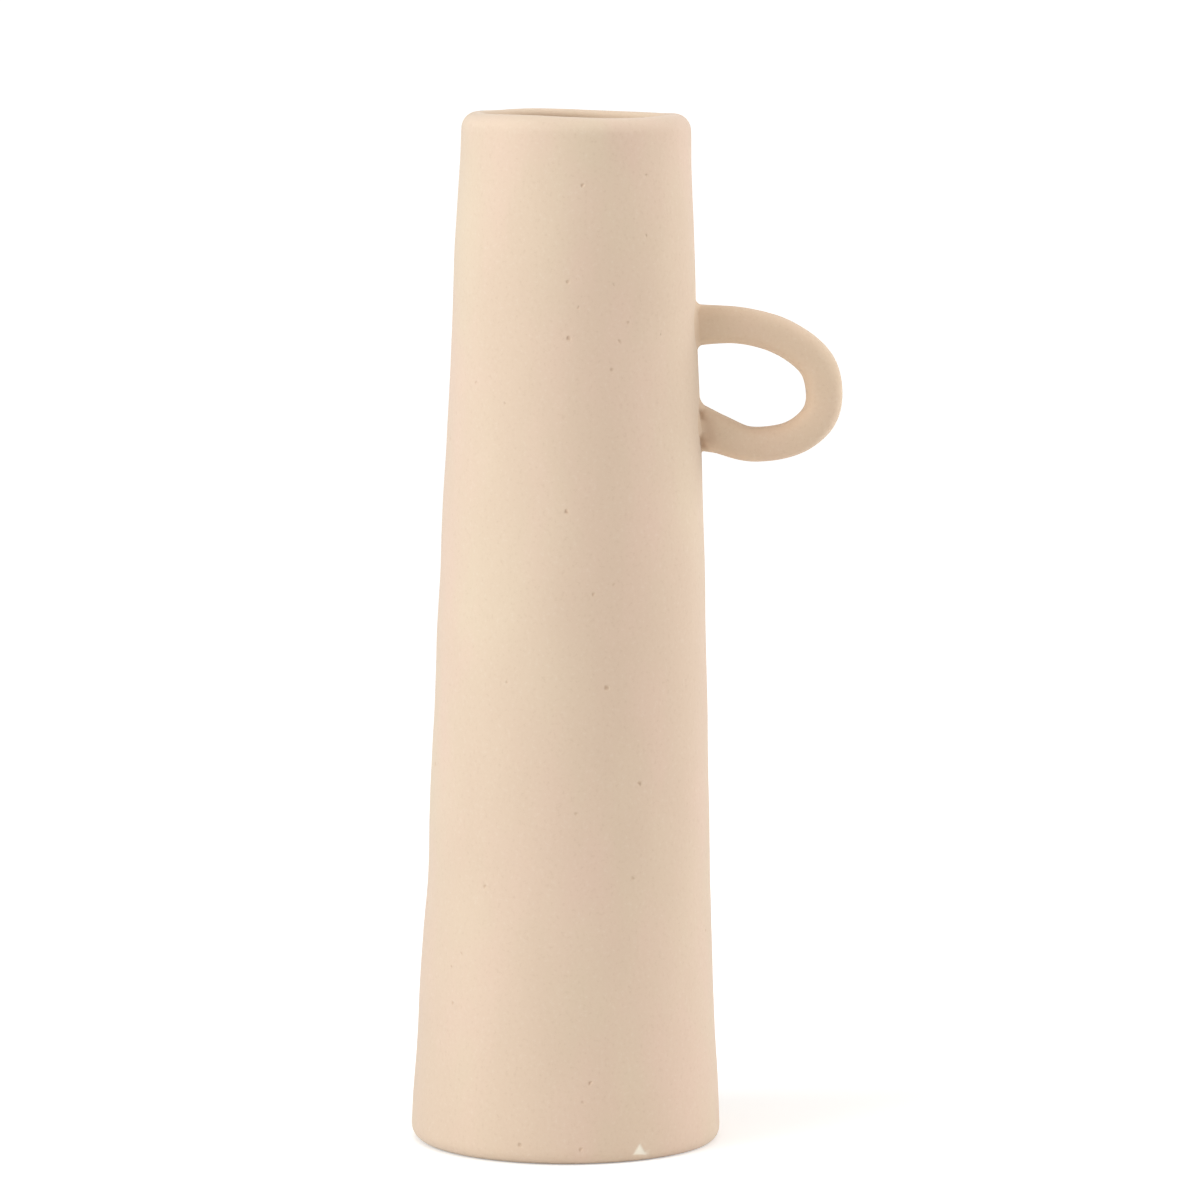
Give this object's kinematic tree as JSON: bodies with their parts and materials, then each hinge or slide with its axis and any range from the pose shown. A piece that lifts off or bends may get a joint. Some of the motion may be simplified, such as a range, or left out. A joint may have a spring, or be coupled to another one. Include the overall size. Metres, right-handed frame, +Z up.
{
  "type": "one-handled tall vase",
  "caption": "Tall slender vase, tapering from a wide foot to an open mouth, with one small finger loop high on its side; stands on a foot ring.",
  "frame": {"origin": "middle of the foot ring, on the table", "axes": "+Z up the vase towards the mouth, +X from the middle towards the handle, +Y to the back"},
  "size_m": [0.1253, 0.0904, 0.3003],
  "materials": {
    "sand_clay": "matt unglazed sand-coloured fired clay with fine pinholes"
  },
  "bodies": {
    "root": {"body_wall": "sand_clay", "base_disc": "sand_clay", "corner_coil": "sand_clay", "handle_loop": "sand_clay", "upper_luting": "sand_clay", "lower_luting": "sand_clay"}
  },
  "joints": []
}
